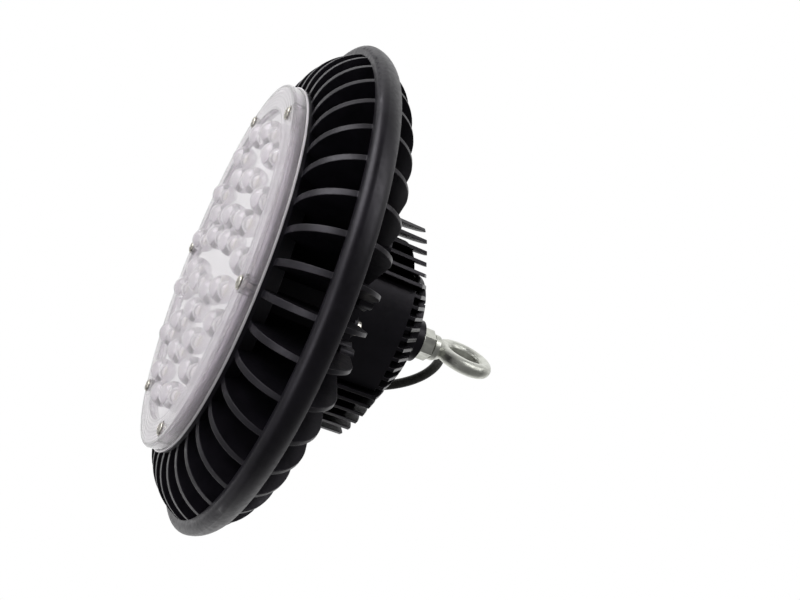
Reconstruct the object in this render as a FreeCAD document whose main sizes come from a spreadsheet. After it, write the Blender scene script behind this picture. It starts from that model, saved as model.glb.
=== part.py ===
"""High bay light: an LED luminaire that hangs from an eye bolt over a high floor.

The frame has +Z up, as the light hangs. Its origin is under the middle of the lens, level
with the tips of the lens domes, so the light also stands on its lens. Sizes are in
millimetres and are kept in the spreadsheet, and every sub-part is bound to its cells.
"""
import FreeCAD, Part
import math
import os

import Sketcher

doc = FreeCAD.newDocument("HighBayLight")

# ---------------------------------------------------------------------------
# Driving dimensions
# ---------------------------------------------------------------------------
DIMENSIONS = {
    # lens cover
    "dome_radius": 8.0,
    "dome_pocket_radius": 4.0,
    "outer_dome_ring": 84.0,
    "middle_dome_ring": 56.5,
    "inner_dome_ring": 30.0,
    "dome_phase": 2.0,
    "lens_plate_thickness": 2.0,
    "lens_field_radius": 97.0,
    "lens_brim_front": 5.2,
    "lens_brim_thickness": 2.5,
    "lens_step_run": 1.0,
    "lens_radius": 114.0,
    "lens_wall": 2.5,
    "lens_edge_round": 1.8,
    "lens_flange_lip": 1.0,
    "lens_flange_thickness": 1.2,
    "lens_flange_width": 14.0,
    "lens_boss_radius": 5.4,
    # lens screws
    "lens_screw_inset": 7.5,
    "lens_screw_phase": 32.4,
    "lens_screw_radius": 2.0,
    "lens_screw_head_radius": 4.0,
    "lens_screw_head_height": 2.6,
    "lens_screw_grip": 8.0,
    "screw_hole_clearance": 0.05,
    "head_clearance": 0.6,
    # heat sink
    "seat_depth": 5.7,
    "base_thickness": 10.0,
    "base_edge_thickness": 2.2,
    "base_shoulder": 5.0,
    "base_lip": 0.5,
    "well_floor_thickness": 14.0,
    "tower_bore_gap": 13.0,
    "tower_wall": 12.0,
    "tower_top": 72.5,
    "fin_front_thickness": 4.0,
    "fin_back_thickness": 1.8,
    "fin_phase": 2.7,
    "fin_front_round": 36.0,
    "fin_inner_gap": 2.0,
    "fin_inner_top": 75.5,
    "fin_bend_inset": 27.7,
    "fin_bend_height": 68.8,
    "fin_back_round": 27.0,
    "rim_radius": 154.2,
    "rim_wall": 7.2,
    "rim_front": 36.2,
    "rim_back": 50.1,
    "rim_crown": 41.0,
    "rim_front_lip": 4.2,
    "rim_back_lip": 3.6,
    "rim_front_round": 4.85,
    "rim_back_round": 13.3,
    "pad_radius": 4.25,
    "pad_depth": 8.0,
    "outer_pad_circle": 105.5,
    "outer_pad_top": 73.2,
    "inner_pad_gap": 8.5,
    "inner_pad_top": 75.0,
    "wire_hole_radius": 6.0,
    # seals
    "lens_gasket_inset": 1.2,
    "gasket_width": 2.6,
    "gasket_depth": 1.5,
    "housing_gasket_margin": 3.6,
    # light engine
    "thermal_pad_thickness": 0.5,
    "thermal_pad_margin": 2.0,
    "led_board_radius": 100.0,
    "led_board_thickness": 1.6,
    "led_size": 5.0,
    "led_height": 0.7,
    "board_screw_circle": 43.5,
    "board_screw_radius": 1.5,
    "board_screw_head_radius": 2.8,
    "board_screw_head_height": 1.4,
    "board_screw_grip": 8.0,
    # driver housing
    "housing_phase": 4.0,
    "housing_flange_thickness": 4.0,
    "cup_radius": 57.0,
    "neck_height": 18.0,
    "cup_wall": 5.0,
    "cup_roof": 5.0,
    "neck_radius": 38.0,
    "neck_wall": 4.0,
    "top_wall": 7.0,
    "top_plate_radius": 40.0,
    "top_plate_thickness": 5.0,
    "top_height": 130.0,
    "housing_fin_thickness": 2.0,
    "housing_fin_pitch": 6.3,
    "housing_fin_foot_radius": 75.0,
    "housing_fin_corner_radius": 75.0,
    "housing_fin_corner_drop": 20.0,
    "housing_fin_waist_radius": 56.0,
    "housing_fin_waist_drop": 9.2,
    "pocket_wall_radius": 69.5,
    "pocket_half_width": 31.0,
    "pocket_wall_drop": 21.0,
    "lug_inset": 5.0,
    "lug_radius": 6.5,
    "lug_height": 1.0,
    "housing_screw_radius": 2.5,
    "housing_screw_head_radius": 4.6,
    "housing_screw_head_height": 3.6,
    "housing_screw_grip": 12.0,
    "flange_hole_clearance": 0.3,
    "slot_width": 1.4,
    "slot_depth": 1.2,
    "slot_inner_radius": 20.0,
    "slot_phase": 6.0,
    "eye_boss_radius": 14.0,
    "eye_boss_height": 16.0,
    # eye bolt
    "eye_bolt_radius": 5.0,
    "eye_bolt_clearance": 0.2,
    "eye_washer_radius": 10.5,
    "eye_washer_thickness": 2.0,
    "eye_nut_radius": 10.5,
    "eye_nut_height": 8.0,
    "eye_collar_gap": 1.0,
    "eye_collar_radius": 8.6,
    "eye_collar_height": 3.4,
    "eye_shoulder_height": 5.6,
    "eye_shoulder_radius": 5.4,
    "eye_ring_rise": 25.0,
    "eye_ring_radius": 15.5,
    "eye_section_radius": 5.0,
    "eye_hole_radius": 11.0,
    "eye_turn": 17.0,
    "eye_tail": 4.0,
    # cord gland
    "gland_x": -3.0,
    "gland_y": 27.0,
    "gland_thread_radius": 6.5,
    "gland_hex_radius": 10.9,
    "gland_hex_height": 5.0,
    "gland_cap_radius": 9.4,
    "gland_cap_height": 10.0,
    "gland_cap_top_radius": 6.4,
    "gland_tail": 2.0,
    "gland_seal_height": 7.0,
    "gland_seal_radius": 6.0,
    "cord_radius": 3.5,
    "conductor_radius": 1.05,
    "conductor_length": 24.0,
    # driver
    "driver_plate_lap": 3.0,
    "driver_plate_thickness": 2.0,
    "plate_screw_inset": 1.5,
    "plate_screw_phase": 45.0,
    "plate_screw_radius": 1.5,
    "plate_screw_head_radius": 2.8,
    "plate_screw_head_height": 2.0,
    "plate_screw_grip": 5.0,
    "standoff_radius": 3.0,
    "standoff_height": 7.5,
    "standoff_circle": 42.0,
    "driver_board_gap": 5.0,
    "driver_board_thickness": 1.6,
    "transformer_length": 34.0,
    "transformer_width": 28.0,
    "transformer_height": 21.0,
    "transformer_x": 18.0,
    "transformer_y": -8.0,
    "capacitor_radius": 8.0,
    "capacitor_height": 22.0,
    "capacitor_x": -22.0,
    "capacitor_y": -31.0,
    "capacitor_spacing": 18.0,
    "choke_radius": 8.0,
    "choke_section": 3.6,
    "choke_x": -27.0,
    "choke_y": 3.0,
    "terminal_length": 22.0,
    "terminal_width": 10.0,
    "terminal_height": 12.0,
    "led_wire_radius": 1.1,
    "lead_window_x": 12.0,
    "lead_window_radius": 8.0,
}

# Shares of a pan head's height and radius
HEAD_CROWN = 0.4
RECESS_DEPTH = 0.5
RECESS_REACH = 0.6
RECESS_HALF_WIDTH = 0.12
# Shares of the transformer's length, width and height
CORE_WIDTH = 0.5
WINDING_LENGTH = 0.55
WINDING_HEIGHT = 0.8
# The conductors: how far apart they start in radii, and the shares of their length that are
# straight and that fan out
CONDUCTOR_SPREAD = 1.3
CONDUCTOR_STRAIGHT = 0.4
CONDUCTOR_FAN = 0.12

# Counts of repeated pieces
OUTER_DOMES = 15
MIDDLE_DOMES = 9
INNER_DOMES = 6
LENS_SCREWS = 6
FINS = 44
BOARD_SCREWS = 6
LUGS = 4
HOUSING_FINS = 22
SLOTS = 8
PLATE_SCREWS = 4

# Route of the supply cord: out of the gland, over the top of the housing, down across the
# fins and over the rim at the back.
CORD_ROUTE = [
    (-3.0, 27.0, 145.0),
    (-3.0, 27.0, 158.5),
    (-2.0, 31.5, 172.0),
    (1.0, 39.5, 183.0),
    (7.5, 49.0, 189.0),
    (17.0, 58.0, 189.0),
    (26.5, 66.0, 183.5),
    (35.0, 72.5, 173.5),
    (41.5, 77.5, 161.0),
    (46.5, 82.5, 146.5),
    (50.5, 88.0, 131.5),
    (55.0, 94.5, 116.5),
    (60.5, 103.0, 103.0),
    (67.5, 114.0, 91.5),
    (74.5, 125.5, 80.5),
    (80.0, 135.0, 68.0),
    (83.2, 141.0, 54.0),
    (84.0, 143.5, 41.0),
]
# Route of each lead from the driver down to the light engine: x, distance from the middle,
# and the share of the whole height
LED_LEAD_ROUTE = [
    (12.0, 3.0, 1.0),
    (12.0, 3.0, 0.72),
    (5.0, 2.2, 0.42),
    (2.5, 2.0, 0.215),
    (2.5, 2.0, 0.0),
]

sheet = doc.addObject("Spreadsheet::Sheet", "Sizes")
for row, (alias, number) in enumerate(DIMENSIONS.items(), start=1):
    sheet.set(f"A{row}", alias)
    sheet.set(f"B{row}", str(number))
    sheet.setAlias(f"B{row}", alias)
doc.recompute()


class Size:
    """A length with its value and the spreadsheet expression that gives it."""

    def __init__(self, text, value):
        self.text = text
        self.value = float(value)

    @staticmethod
    def of(other):
        return other if isinstance(other, Size) else Size(repr(float(other)), other)

    def __add__(self, other):
        other = Size.of(other)
        return Size(f"({self.text} + {other.text})", self.value + other.value)

    def __sub__(self, other):
        other = Size.of(other)
        return Size(f"({self.text} - {other.text})", self.value - other.value)

    def __mul__(self, other):
        other = Size.of(other)
        return Size(f"({self.text} * {other.text})", self.value * other.value)

    def __truediv__(self, other):
        other = Size.of(other)
        return Size(f"({self.text} / {other.text})", self.value / other.value)

    def __neg__(self):
        return Size(f"(-{self.text})", -self.value)

    def __rsub__(self, other):
        return Size.of(other) - self

    __radd__ = __add__
    __rmul__ = __mul__


class Dimensions:
    """The spreadsheet's cells as attributes, each a Size."""

    def __getattr__(self, alias):
        return Size(f"Sizes.{alias}", sheet.get(alias))


dim = Dimensions()
ZERO = Size.of(0)


def bind(obj, **values):
    """Bind an object's properties to spreadsheet expressions."""
    for name, size in values.items():
        obj.setExpression(name, Size.of(size).text)


def place(obj, x=0, y=0, z=0, turn=None, frame="Placement"):
    """Bind an object's position, and its turn about +Z in degrees."""
    for axis, size in zip("xyz", (x, y, z)):
        obj.setExpression(f"{frame}.Base.{axis}", Size.of(size).text)
    if turn is not None:
        obj.Placement.Rotation = FreeCAD.Rotation(FreeCAD.Vector(0, 0, 1), 1)
        obj.setExpression(f"{frame}.Rotation.Angle", Size.of(turn).text)
    return obj


# ---------------------------------------------------------------------------
# PartDesign helpers
# ---------------------------------------------------------------------------
def new_body(label, turn=None):
    body = doc.addObject("PartDesign::Body", label)
    body.Label = label
    body.AllowCompound = True
    if turn is not None:
        place(body, turn=turn)
    return body


def origin_feature(body, role):
    return next(item for item in body.Origin.OriginFeatures if item.Role == role)


def new_sketch(body, plane, offset=ZERO, turn=None):
    """A sketch on one of the body's own origin planes, moved along its normal."""
    sketch = body.newObject("Sketcher::SketchObject", "Sketch")
    sketch.AttachmentSupport = [(origin_feature(body, plane), "")]
    sketch.MapMode = "FlatFace"
    sketch.setExpression("AttachmentOffset.Base.z", Size.of(offset).text)
    if turn is not None:
        sketch.AttachmentOffset.Rotation = FreeCAD.Rotation(FreeCAD.Vector(0, 0, 1), 1)
        sketch.setExpression("AttachmentOffset.Rotation.Angle", turn.text)
    return sketch


def pin_point(sketch, edge, end, x, y):
    """Fix one end point of an edge at x, y from the sketch's origin."""
    for kind, size in (("X", Size.of(x)), ("Y", Size.of(y))):
        if size.value == 0 and size.text == ZERO.text:
            other = -2 if kind == "X" else -1
            sketch.addConstraint(Sketcher.Constraint("PointOnObject", edge, end, other))
            continue
        index = sketch.addConstraint(
            Sketcher.Constraint(f"Distance{kind}", -1, 1, edge, end, size.value))
        sketch.setExpression(f"Constraints[{index}]", size.text)


def arc_through(start, end, radius, left):
    """The minor arc between two points; its centre is left or right of the way there."""
    chord = end - start
    rise = math.sqrt(max(radius ** 2 - (chord.Length / 2) ** 2, 0))
    normal = FreeCAD.Vector(-chord.y, chord.x, 0).normalize()
    centre = (start + end) / 2 + normal * (rise if left else -rise)
    circle = Part.Circle(centre, FreeCAD.Vector(0, 0, 1), radius)
    first = math.atan2(start.y - centre.y, start.x - centre.x)
    last = math.atan2(end.y - centre.y, end.x - centre.x)
    return Part.ArcOfCircle(circle, *((first, last) if left else (last, first)))


def outline(sketch, *steps):
    """Add a closed outline: each step is (x, y), or (x, y, radius, side) for an arc to the
    next step, whose centre is on that side of the way there."""
    corners = [FreeCAD.Vector(Size.of(step[0]).value, Size.of(step[1]).value, 0) for step in steps]
    edges = []
    for index, step in enumerate(steps):
        start, end = corners[index], corners[(index + 1) % len(steps)]
        if len(step) == 2:
            edges.append((sketch.addGeometry(Part.LineSegment(start, end), False), 1, 2))
            continue
        left = step[3] == "left"
        arc = sketch.addGeometry(arc_through(start, end, step[2].value, left), False)
        edges.append((arc, 1, 2) if left else (arc, 2, 1))
    for index, (edge, first, last) in enumerate(edges):
        following, next_first, _ = edges[(index + 1) % len(edges)]
        sketch.addConstraint(Sketcher.Constraint("Coincident", edge, last, following, next_first))
        pin_point(sketch, edge, first, *steps[index][:2])
        if len(steps[index]) > 2:
            radius = steps[index][2]
            number = sketch.addConstraint(Sketcher.Constraint("Radius", edge, radius.value))
            sketch.setExpression(f"Constraints[{number}]", radius.text)
    return sketch


def disc(sketch, x, y, radius):
    """Add a circle with its centre at x, y."""
    x, y, radius = Size.of(x), Size.of(y), Size.of(radius)
    centre = FreeCAD.Vector(x.value, y.value, 0)
    circle = Part.Circle(centre, FreeCAD.Vector(0, 0, 1), radius.value)
    edge = sketch.addGeometry(circle, False)
    pin_point(sketch, edge, 3, x, y)
    number = sketch.addConstraint(Sketcher.Constraint("Radius", edge, radius.value))
    sketch.setExpression(f"Constraints[{number}]", radius.text)
    return sketch


def turned(body, sketch, kind="Revolution", axis="V_Axis"):
    """A Revolution or Groove of a sketch all the way round an axis of the sketch."""
    feature = body.newObject(f"PartDesign::{kind}", kind)
    feature.Profile = sketch
    feature.ReferenceAxis = (sketch, [axis])
    feature.Angle = 360
    doc.recompute()
    return feature


def padded(body, sketch, length):
    feature = body.newObject("PartDesign::Pad", "Pad")
    feature.Profile = sketch
    bind(feature, Length=length)
    doc.recompute()
    return feature


def pocketed(body, sketch, length, up=True):
    """A Pocket that goes up, or else down, from its sketch."""
    feature = body.newObject("PartDesign::Pocket", "Pocket")
    feature.Profile = sketch
    feature.Reversed = up
    bind(feature, Length=length)
    doc.recompute()
    if not feature.Shape.Volume < feature.BaseFeature.Shape.Volume:
        raise ValueError(f"{body.Label}: a pocket cuts nothing")
    return feature


def polar(body, features, count, angle=360):
    """Repeat features round the body's Z axis."""
    pattern = body.newObject("PartDesign::PolarPattern", "PolarPattern")
    pattern.Originals = features
    pattern.Axis = (origin_feature(body, "Z_Axis"), [""])
    pattern.Angle = angle
    pattern.Occurrences = count
    body.Tip = pattern
    doc.recompute()
    return pattern


def ball(body, kind, radius, x, z, latitudes):
    """Part of a sphere centred at x, z, between two latitudes."""
    sphere = body.newObject(f"PartDesign::{kind}Sphere", "Sphere")
    sphere.AttachmentSupport = [(origin_feature(body, "XY_Plane"), "")]
    sphere.MapMode = "FlatFace"
    bind(sphere, Radius=radius)
    sphere.Angle1, sphere.Angle2 = latitudes
    place(sphere, x=x, z=z, frame="AttachmentOffset")
    doc.recompute()
    return sphere


# ---------------------------------------------------------------------------
# Part helpers
# ---------------------------------------------------------------------------
parts = {}


def keep(obj, label):
    """Register a finished sub-part under its node name."""
    obj.Label = label
    parts[label] = obj
    return obj


def cylinder(radius, height, x=0, y=0, z=0):
    obj = doc.addObject("Part::Cylinder", "Cylinder")
    bind(obj, Radius=radius, Height=height)
    return place(obj, x, y, z)


def cone(low_radius, high_radius, height, x=0, y=0, z=0):
    obj = doc.addObject("Part::Cone", "Cone")
    bind(obj, Radius1=low_radius, Radius2=high_radius, Height=height)
    return place(obj, x, y, z)


def hexagon(corner_radius, height, x=0, y=0, z=0):
    obj = doc.addObject("Part::Prism", "Prism")
    obj.Polygon = 6
    bind(obj, Circumradius=corner_radius, Height=height)
    return place(obj, x, y, z)


def box(length, width, height, x=0, y=0, z=0):
    """A box centred on x, y that stands on z."""
    obj = doc.addObject("Part::Box", "Box")
    bind(obj, Length=length, Width=width, Height=height)
    return place(obj, Size.of(x) - length / 2, Size.of(y) - width / 2, z)


def cut(base, tool):
    obj = doc.addObject("Part::Cut", "Cut")
    obj.Base = base
    obj.Tool = tool
    return obj


def fuse(*shapes):
    obj = doc.addObject("Part::MultiFuse", "Fusion")
    obj.Shapes = list(shapes)
    obj.Refine = False
    return obj


def ring(radius, bore, height, z, x=0, y=0):
    """A flat ring: a cylinder with a bore right through it."""
    return cut(cylinder(radius, height, x, y, z), cylinder(bore, height + 2, x, y, z - 1))


def bent_path(points):
    """Straight runs joined by tangent arcs as large as the runs allow, and their radii."""
    corners = [FreeCAD.Vector(*point) for point in points]
    edges, radii, last = [], [], corners[0]
    for before, corner, after in zip(corners, corners[1:], corners[2:]):
        way_in = (corner - before).normalize()
        way_out = (after - corner).normalize()
        half_turn = way_in.getAngle(way_out) / 2
        reach = 0.45 * min((corner - before).Length, (after - corner).Length)
        radius = reach / math.tan(half_turn)
        start, end = corner - way_in * reach, corner + way_out * reach
        towards_centre = (way_out - way_in).normalize()
        middle = corner + towards_centre * (radius / math.cos(half_turn) - radius)
        edges.append(Part.LineSegment(last, start).toShape())
        edges.append(Part.Arc(start, middle, end).toShape())
        radii.append(radius)
        last = end
    edges.append(Part.LineSegment(last, corners[-1]).toShape())
    return Part.Wire(edges), radii


def tube(label, points, radius):
    """A round cord or lead along a bent path."""
    path, radii = bent_path(points)
    start = FreeCAD.Vector(*points[0])
    section = Part.Circle(start, FreeCAD.Vector(*points[1]) - start, radius)
    solid = path.makePipeShell([Part.Wire(section.toShape())], True, True)
    wanted = math.pi * radius ** 2 * path.Length
    if abs(solid.Volume - wanted) > 0.01 * wanted:
        raise ValueError(f"{label}: volume {solid.Volume:.0f}, section times length {wanted:.0f}")
    print(f"{label}: length {path.Length:.1f}, bend radii", [round(value, 1) for value in radii])
    obj = doc.addObject("Part::Feature", label)
    obj.Shape = solid
    return keep(obj, label)


# ---------------------------------------------------------------------------
# Heights and radii that several sub-parts share
# ---------------------------------------------------------------------------
seat = dim.dome_radius + dim.seat_depth
base_back = seat + dim.base_thickness
lens_plate_back = dim.dome_radius + dim.lens_plate_thickness
lens_flange_front = seat - dim.lens_flange_thickness
lens_flange_radius = dim.lens_radius + dim.lens_flange_lip
lens_head_seat = dim.lens_brim_front + dim.lens_brim_thickness
lens_screw_circle = dim.lens_radius - dim.lens_screw_inset
lens_gasket_radius = dim.lens_radius - dim.lens_gasket_inset
board_back = seat - dim.thermal_pad_thickness
board_front = board_back - dim.led_board_thickness
tower_inner_radius = dim.cup_radius + dim.tower_bore_gap
tower_outer_radius = tower_inner_radius + dim.tower_wall
housing_gasket_radius = tower_inner_radius + dim.housing_gasket_margin
fin_inner_radius = tower_outer_radius + dim.fin_inner_gap
flange_back = dim.tower_top + dim.housing_flange_thickness
lug_circle = tower_outer_radius - dim.lug_inset
lug_top = flange_back + dim.lug_height
cup_top = dim.top_height - dim.neck_height
cup_bore = dim.cup_radius - dim.cup_wall
cup_bore_top = cup_top - dim.cup_roof
neck_bore = dim.neck_radius - dim.neck_wall
neck_bore_top = dim.top_height - dim.top_wall
eye_boss_top = dim.top_height + dim.eye_boss_height
nut_bottom = eye_boss_top + dim.eye_washer_thickness
nut_top = nut_bottom + dim.eye_nut_height
collar_bottom = nut_top + dim.eye_collar_gap
eye_ring_height = collar_bottom + dim.eye_ring_rise
plate_front = dim.tower_top - dim.driver_plate_thickness
plate_screw_circle = dim.cup_radius - dim.plate_screw_inset
plate_screw_phase = dim.housing_phase + dim.plate_screw_phase
driver_board_bottom = dim.tower_top + dim.standoff_height
driver_board_top = driver_board_bottom + dim.driver_board_thickness
gland_hex_top = dim.top_height + dim.gland_hex_height
gland_top = gland_hex_top + dim.gland_cap_height


# ---------------------------------------------------------------------------
# Heat sink
# ---------------------------------------------------------------------------
def heat_sink():
    """One die casting: base plate, tower, tapered radial fins and the rim round them."""
    base_radius = dim.lens_radius + dim.base_lip
    base_edge = seat + dim.base_edge_thickness
    fin_foot = seat + dim.base_edge_thickness / 2
    fin_top = dim.fin_inner_top + 1
    body = new_body("heat_sink", turn=dim.fin_phase)

    core = outline(
        new_sketch(body, "XZ_Plane"),
        (ZERO, seat), (base_radius, seat), (base_radius, base_edge),
        (base_radius - dim.base_shoulder, base_back), (tower_outer_radius, base_back),
        (tower_outer_radius, dim.tower_top), (tower_inner_radius, dim.tower_top),
        (tower_inner_radius, seat + dim.well_floor_thickness),
        (ZERO, seat + dim.well_floor_thickness))
    turned(body, core)

    fin_start = (tower_inner_radius + tower_outer_radius) / 2
    rim_inner = dim.rim_radius - dim.rim_wall
    fin_end = rim_inner + 1
    section = outline(
        new_sketch(body, "YZ_Plane", fin_start),
        (-dim.fin_front_thickness / 2, fin_foot), (dim.fin_front_thickness / 2, fin_foot),
        (dim.fin_back_thickness / 2, fin_top), (-dim.fin_back_thickness / 2, fin_top))
    fin = padded(body, section, fin_end - fin_start)
    polar(body, [fin], FINS)

    outside = dim.rim_radius + 5
    front_trim = outline(
        new_sketch(body, "XZ_Plane"),
        (base_radius, fin_foot - 1), (base_radius, base_edge, dim.fin_front_round, "left"),
        (rim_inner, dim.rim_front), (outside, dim.rim_front),
        (outside, fin_foot - 1))
    turned(body, front_trim, "Groove")

    back_trim = outline(
        new_sketch(body, "XZ_Plane"),
        (fin_start - 2, dim.tower_top), (fin_inner_radius, dim.tower_top),
        (fin_inner_radius, dim.fin_inner_top),
        (dim.rim_radius - dim.fin_bend_inset, dim.fin_bend_height, dim.fin_back_round, "right"),
        (fin_end, dim.rim_back), (outside, dim.rim_back),
        (outside, fin_top + 5), (fin_start - 2, fin_top + 5))
    turned(body, back_trim, "Groove")

    rim = outline(
        new_sketch(body, "XZ_Plane"),
        (rim_inner, dim.rim_front),
        (dim.rim_radius - dim.rim_front_lip, dim.rim_front, dim.rim_front_round, "left"),
        (dim.rim_radius, dim.rim_crown, dim.rim_back_round, "left"),
        (dim.rim_radius - dim.rim_back_lip, dim.rim_back), (rim_inner, dim.rim_back))
    turned(body, rim)

    ejector_pads(body, dim.outer_pad_circle, dim.outer_pad_top, [0], FINS // 2)
    ejector_pads(body, fin_inner_radius + dim.inner_pad_gap, dim.inner_pad_top, [-1, 1], LUGS)

    gasket_groove(body, lens_gasket_radius, seat, up=True)
    hole_ring(body, lens_screw_circle, dim.lens_screw_radius + dim.screw_hole_clearance,
              seat, dim.lens_screw_grip + 0.5, LENS_SCREWS, dim.lens_screw_phase - dim.fin_phase)
    hole_ring(body, dim.board_screw_circle, dim.board_screw_radius + dim.screw_hole_clearance,
              seat, dim.board_screw_grip + 0.5, BOARD_SCREWS, -dim.fin_phase)
    hole_ring(body, lug_circle, dim.housing_screw_radius + dim.screw_hole_clearance,
              dim.tower_top - dim.housing_screw_grip - 1, dim.housing_screw_grip + 2, LUGS,
              dim.housing_phase - dim.fin_phase)
    gasket_groove(body, housing_gasket_radius, dim.tower_top, up=False)
    wires = disc(new_sketch(body, "XY_Plane", seat - 1), ZERO, ZERO, dim.wire_hole_radius)
    pocketed(body, wires, dim.well_floor_thickness + 2)
    keep(body, "heat_sink")


def ejector_pads(body, circle, top, fins, count):
    """Round ejector pads on the backs of the numbered fins, repeated round the axis."""
    sketch = new_sketch(body, "XY_Plane", top - dim.pad_depth)
    for fin in fins:
        disc(sketch, *on_circle(circle, 360 / FINS * fin), dim.pad_radius)
    polar(body, [padded(body, sketch, dim.pad_depth)], count)


def gasket_groove(body, outer_radius, face, up):
    """A square groove for a flat gasket, cut up or down into a face."""
    low, high = (face - 1, face + dim.gasket_depth) if up else (face - dim.gasket_depth, face + 1)
    groove = outline(
        new_sketch(body, "XZ_Plane"),
        (outer_radius - dim.gasket_width, low), (outer_radius, low), (outer_radius, high),
        (outer_radius - dim.gasket_width, high))
    turned(body, groove, "Groove")


def hole_ring(body, circle, radius, bottom, depth, count, phase):
    """Blind or through holes that go up from a height, evenly spaced on a circle."""
    x, y = on_circle(circle, phase)
    hole = pocketed(body, disc(new_sketch(body, "XY_Plane", bottom), x, y, radius), depth)
    polar(body, [hole], count)


def on_circle(radius, angle):
    """The x and y of a point on a circle, the angle in degrees."""
    radius, angle = Size.of(radius), Size.of(angle)
    turn = math.radians(angle.value)
    return (Size(f"({radius.text} * cos({angle.text} * 1 deg))", radius.value * math.cos(turn)),
            Size(f"({radius.text} * sin({angle.text} * 1 deg))", radius.value * math.sin(turn)))


# ---------------------------------------------------------------------------
# Lens and light engine
# ---------------------------------------------------------------------------
def dome_rings():
    """The circles that the lens domes and the light sources under them stand on."""
    return ((dim.outer_dome_ring, OUTER_DOMES), (dim.middle_dome_ring, MIDDLE_DOMES),
            (dim.inner_dome_ring, INNER_DOMES))


def lens_cover():
    """One clear moulding: a field of domes, a raised brim, a skirt and a screw flange."""
    front, back = dim.dome_radius, lens_plate_back
    field, step = dim.lens_field_radius, dim.lens_step_run
    brim, brim_back = dim.lens_brim_front, lens_head_seat
    inside = dim.lens_radius - dim.lens_wall
    flange_bore = lens_flange_radius - dim.lens_flange_width
    phase = dim.lens_screw_phase - dim.dome_phase
    body = new_body("lens_cover", turn=dim.dome_phase)
    shell = outline(
        new_sketch(body, "XZ_Plane"),
        (ZERO, front), (field, front), (field + step, brim),
        (dim.lens_radius - dim.lens_edge_round, brim, dim.lens_edge_round, "left"),
        (dim.lens_radius, brim + dim.lens_edge_round), (dim.lens_radius, lens_flange_front),
        (lens_flange_radius, lens_flange_front), (lens_flange_radius, seat), (flange_bore, seat),
        (flange_bore, lens_flange_front), (inside, lens_flange_front), (inside, brim_back),
        (field + step + dim.lens_wall, brim_back), (field + dim.lens_wall, back), (ZERO, back))
    turned(body, shell)

    boss = disc(new_sketch(body, "XY_Plane", brim_back - 1),
                *on_circle(lens_screw_circle, phase), dim.lens_boss_radius)
    polar(body, [padded(body, boss, seat - brim_back + 1)], LENS_SCREWS)
    hole_ring(body, lens_screw_circle, dim.lens_screw_head_radius + dim.head_clearance,
              brim - 1, dim.lens_brim_thickness + 1, LENS_SCREWS, phase)
    hole_ring(body, lens_screw_circle, dim.lens_screw_radius + dim.flange_hole_clearance,
              brim - 1, seat, LENS_SCREWS, phase)
    for circle, count in dome_rings():
        polar(body, [ball(body, "Additive", dim.dome_radius, circle, front, (-90, 0))], count)
        polar(body, [ball(body, "Subtractive", dim.dome_pocket_radius, circle, back, (-90, 30))],
              count)
    keep(body, "lens_cover")


def light_engine():
    """Thermal pad, circuit board and the light sources that face the domes."""
    pad_radius = dim.led_board_radius - dim.thermal_pad_margin
    for label, radius, bottom, thickness in (
            ("thermal_pad", pad_radius, board_back, dim.thermal_pad_thickness),
            ("led_board", dim.led_board_radius, board_front, dim.led_board_thickness)):
        body = new_body(label)
        padded(body, disc(new_sketch(body, "XY_Plane", bottom), ZERO, ZERO, radius), thickness)
        hole_ring(body, dim.board_screw_circle,
                  dim.board_screw_radius + dim.flange_hole_clearance, bottom - 1, thickness + 2,
                  BOARD_SCREWS, ZERO)
        if label == "thermal_pad":
            wires = disc(new_sketch(body, "XY_Plane", bottom - 1), ZERO, ZERO,
                         dim.wire_hole_radius)
            pocketed(body, wires, thickness + 2)
        keep(body, label)

    body = new_body("led_chips", turn=dim.dome_phase)
    half = dim.led_size / 2
    for circle, count in dome_rings():
        chip = outline(new_sketch(body, "XY_Plane", board_front - dim.led_height),
                       (circle - half, -half), (circle + half, -half), (circle + half, half),
                       (circle - half, half))
        polar(body, [padded(body, chip, dim.led_height)], count)
    keep(body, "led_chips")


def pan_head_screws(label, circle, phase, count, head_seat, grip, points_up=True):
    """Pan-head screws on a circle. Their sizes are the cells named after the label's first
    word; the heads bear on head_seat and the shanks go the given way from it."""
    kind = label.rsplit("s", 1)[0]
    radius = getattr(dim, f"{kind}_radius")
    head_radius = getattr(dim, f"{kind}_head_radius")
    head_height = getattr(dim, f"{kind}_head_height")
    way = 1 if points_up else -1
    side = "left" if points_up else "right"
    crown = head_height * HEAD_CROWN
    head = head_seat - head_height * way
    shoulder = head + crown * way
    end = head_seat + grip * way
    centre = Size.of(circle)
    body = new_body(label, turn=phase)
    sketch = outline(
        new_sketch(body, "XZ_Plane"),
        (centre, head), (centre + head_radius - crown, head, crown, side),
        (centre + head_radius, shoulder), (centre + head_radius, head_seat),
        (centre + radius, head_seat), (centre + radius, end), (centre, end))
    axis = sketch.addGeometry(Part.LineSegment(FreeCAD.Vector(centre.value, 0, 0),
                                               FreeCAD.Vector(centre.value, 9, 0)), True)
    pin_point(sketch, axis, 1, centre, ZERO)
    pin_point(sketch, axis, 2, centre, 9)
    screw = turned(body, sketch, axis="Axis0")

    arm, half = head_radius * RECESS_REACH, head_radius * RECESS_HALF_WIDTH
    quarter = ((arm, half), (half, half), (half, arm))
    corners = [(x, y) for x, y in quarter]
    corners += [(-x, y) for x, y in reversed(quarter)]
    corners += [(-x, -y) for x, y in quarter]
    corners += [(x, -y) for x, y in reversed(quarter)]
    cross = outline(new_sketch(body, "XY_Plane", head), *[(centre + x, y) for x, y in corners])
    recess = pocketed(body, cross, head_height * RECESS_DEPTH, points_up)
    polar(body, [screw, recess], count)
    keep(body, label)


def flat_gasket(label, outer_radius, face, up):
    """A flat gasket that fills its groove, above or below the face that it seals."""
    bottom = face if up else face - dim.gasket_depth
    keep(ring(outer_radius, outer_radius - dim.gasket_width, dim.gasket_depth, bottom), label)


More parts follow.
